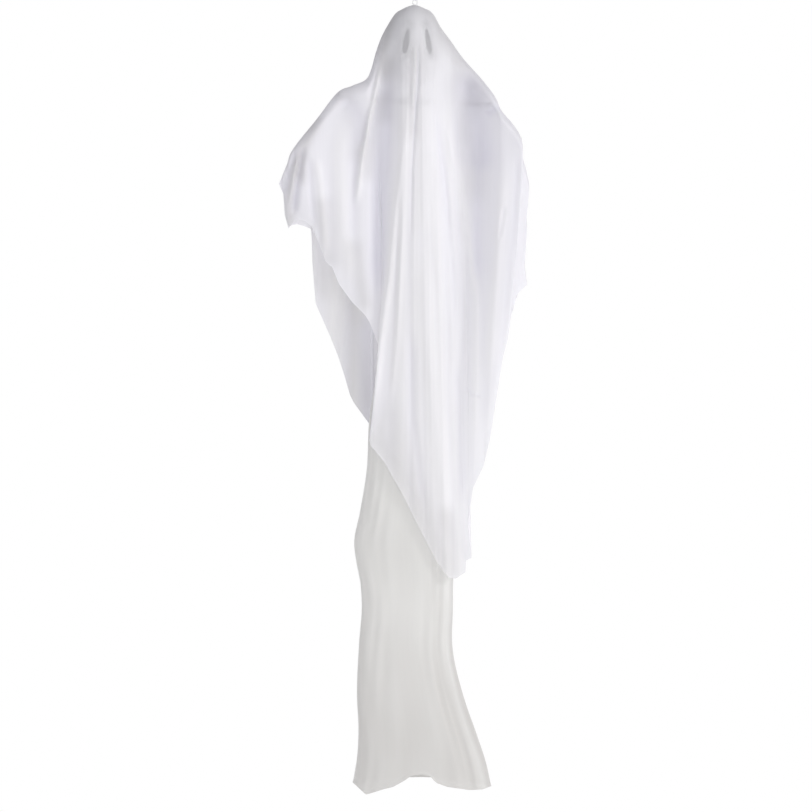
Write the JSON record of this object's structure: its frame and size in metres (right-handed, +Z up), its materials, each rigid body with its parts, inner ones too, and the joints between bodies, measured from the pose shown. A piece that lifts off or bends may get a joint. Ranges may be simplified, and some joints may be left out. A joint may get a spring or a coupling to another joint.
{
  "type": "hanging ghost decoration",
  "caption": "Hanging ghost: sheer veil over an egg-shaped head and two poseable arms, with a long flared inner robe, on a light tube frame with a hanging eye.",
  "frame": {"origin": "bearing point at the top of the hanging eye's bore", "axes": "+Z up along the spine, -Y to the front, +X to the viewer's right"},
  "size_m": [0.6745, 0.2944, 2.1535],
  "materials": {
    "white_voile": "sheer woven voile",
    "white_cloth": "fine plain weave",
    "white_elastic": "ribbed elastic",
    "white_shell": "matt moulded",
    "black_felt": "felt",
    "white_pipe": "satin extruded",
    "grey_fitting": "matt moulded",
    "zinc_steel": "zinc plated",
    "white_foam": "closed-cell foam",
    "white_enamel": "baked enamel"
  },
  "bodies": {
    "hanging_frame": {"hanging_eye": "white_enamel", "crown_washer": "white_enamel", "crown_inner_washer": "zinc_steel", "hanging_nut": "zinc_steel", "head_front": "white_shell", "head_back": "white_shell", "eye_patch_left": "black_felt", "eye_patch_right": "black_felt", "neck_screw_front": "zinc_steel", "neck_screw_back": "zinc_steel", "spine_tube": "white_pipe", "spine_end_cap": "grey_fitting", "shoulder_hub": "grey_fitting", "hub_screw": "zinc_steel", "tube_screw_left": "zinc_steel", "tube_screw_right": "zinc_steel", "shoulder_tube_left": "white_pipe", "shoulder_tube_right": "white_pipe", "shoulder_fork_left": "grey_fitting", "shoulder_fork_right": "grey_fitting", "pivot_bolt_left": "zinc_steel", "pivot_bolt_right": "zinc_steel", "wing_nut_left": "zinc_steel", "wing_nut_right": "zinc_steel", "robe_collar": "white_elastic", "robe_front": "white_cloth", "robe_back": "white_cloth", "veil_body": "white_voile"},
    "arm_left": {"arm_rod_left": "zinc_steel", "arm_foam_left": "white_foam", "hand_ball_left": "white_foam", "veil_sleeve_left": "white_voile"},
    "arm_right": {"arm_rod_right": "zinc_steel", "arm_foam_right": "white_foam", "hand_ball_right": "white_foam", "veil_sleeve_right": "white_voile"}
  },
  "joints": [
    {"name": "arm_left_raise", "type": "hinge", "parent": "hanging_frame", "child": "arm_left", "pos_m": [-0.20798, 0, -0.26252], "axis": [0, 1, 0], "range_deg": [-15, 30], "deforming": ["veil_sleeve_left"]},
    {"name": "arm_right_raise", "type": "hinge", "parent": "hanging_frame", "child": "arm_right", "pos_m": [0.20798, 0, -0.28148], "axis": [0, -1, 0], "range_deg": [-15, 30], "deforming": ["veil_sleeve_right"]}
  ]
}
